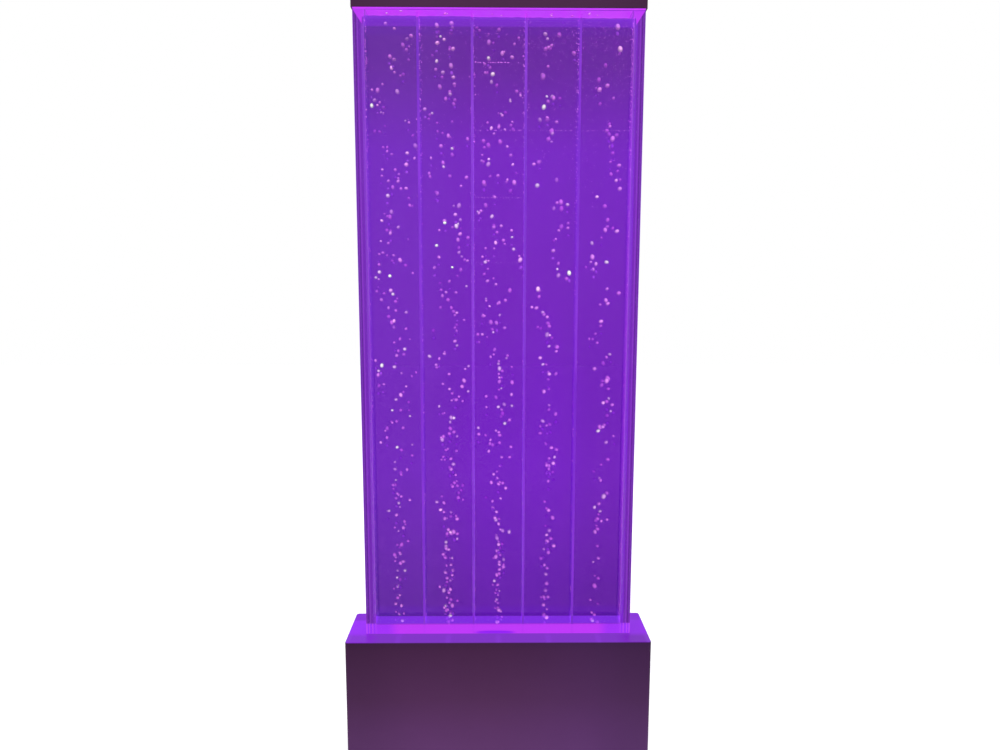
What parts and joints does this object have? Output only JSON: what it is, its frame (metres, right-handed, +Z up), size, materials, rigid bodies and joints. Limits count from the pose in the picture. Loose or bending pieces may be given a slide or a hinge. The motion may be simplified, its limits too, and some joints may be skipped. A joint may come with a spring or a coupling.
{
  "type": "bubble wall floor lamp",
  "caption": "Free-standing bubble wall: a clear water tank in upright chambers on a moulded base, lit from below and from a lift-off cap, with an air pump and drain.",
  "frame": {"origin": "on the floor, below the middle of the base", "axes": "+X to the right seen from the front, -Y to the front, +Z up"},
  "size_m": [0.766, 0.16, 1.9053],
  "materials": {
    "base_paint": "satin moulded housing, dark aubergine under the light",
    "clear_acrylic": "polished clear acrylic",
    "light_panel": "opal diffusing acrylic",
    "led_board": "white circuit board with lights",
    "aluminium": "anodised extrusion",
    "steel": "zinc plated steel",
    "black_rubber": "matt rubber",
    "brass": "turned brass",
    "white_plastic": "moulded",
    "black_plastic": "moulded, fine grain",
    "silicone": "milky silicone",
    "red_plastic": "moulded handle"
  },
  "bodies": {
    "wall": {"base_shell": "base_paint", "bottom_plate": "steel", "bottom_plate_screws": "steel", "rubber_feet": "black_rubber", "access_panel": "base_paint", "access_panel_screws": "black_plastic", "deck_seal": "black_rubber", "tank_cradle": "steel", "cradle_legs": "steel", "cradle_bolts": "steel", "tank_pads": "black_rubber", "front_sheet": "clear_acrylic", "back_sheet": "clear_acrylic", "left_end_wall": "clear_acrylic", "right_end_wall": "clear_acrylic", "left_edge_bar": "clear_acrylic", "right_edge_bar": "clear_acrylic", "divider_1": "clear_acrylic", "divider_2": "clear_acrylic", "divider_3": "clear_acrylic", "divider_4": "clear_acrylic", "tank_floor": "clear_acrylic", "air_nozzles": "brass", "check_valves": "white_plastic", "air_tubes": "silicone", "air_manifold": "white_plastic", "manifold_bracket": "steel", "pump_tub": "black_plastic", "pump_cover": "black_plastic", "pump_feet": "black_rubber", "pump_tube": "silicone", "drain_fitting": "brass", "drain_pipe": "silicone", "drain_valve": "brass", "drain_nut": "brass", "lower_light_channels": "aluminium", "lower_light_strips": "led_board", "light_controller": "black_plastic", "wiring": "black_plastic", "power_inlet": "black_plastic", "switch_frame": "black_plastic", "cap_socket": "white_plastic", "cap_lead": "white_plastic"},
    "cap": {"cap_shell": "base_paint", "cap_light_panel": "light_panel", "cap_light_channel": "aluminium", "cap_light_strip": "led_board", "cap_screws": "steel", "cap_tongues": "clear_acrylic", "cap_plug": "white_plastic"},
    "drain_lever": {"drain_lever": "red_plastic"},
    "rocker": {"switch_rocker": "red_plastic"},
    "air_lever_1": {"air_lever_1": "red_plastic"},
    "air_lever_2": {"air_lever_2": "red_plastic"},
    "air_lever_3": {"air_lever_3": "red_plastic"},
    "air_lever_4": {"air_lever_4": "red_plastic"},
    "air_lever_5": {"air_lever_5": "red_plastic"}
  },
  "joints": [
    {"name": "cap_lift", "type": "slide", "parent": "wall", "child": "cap", "axis": [0, 0, 1], "range_m": [0, 0.16]},
    {"name": "drain_turn", "type": "hinge", "parent": "wall", "child": "drain_lever", "pos_m": [0.206, 0.051, 0.078], "axis": [0, 0, -1], "range_deg": [0, 90]},
    {"name": "switch_rock", "type": "hinge", "parent": "wall", "child": "rocker", "pos_m": [0.258, 0.0325, 0.06], "axis": [-1, 0, 0], "range_deg": [0, 20]},
    {"name": "air_valve_1", "type": "hinge", "parent": "wall", "child": "air_lever_1", "pos_m": [-0.05, 0.049, 0.128], "axis": [0, 1, 0], "range_deg": [0, 90]},
    {"name": "air_valve_2", "type": "hinge", "parent": "wall", "child": "air_lever_2", "pos_m": [-0.025, 0.049, 0.128], "axis": [0, 1, 0], "range_deg": [0, 90]},
    {"name": "air_valve_3", "type": "hinge", "parent": "wall", "child": "air_lever_3", "pos_m": [0, 0.049, 0.128], "axis": [0, 1, 0], "range_deg": [0, 90]},
    {"name": "air_valve_4", "type": "hinge", "parent": "wall", "child": "air_lever_4", "pos_m": [0.025, 0.049, 0.128], "axis": [0, 1, 0], "range_deg": [0, 90]},
    {"name": "air_valve_5", "type": "hinge", "parent": "wall", "child": "air_lever_5", "pos_m": [0.05, 0.049, 0.128], "axis": [0, 1, 0], "range_deg": [0, 90]}
  ]
}
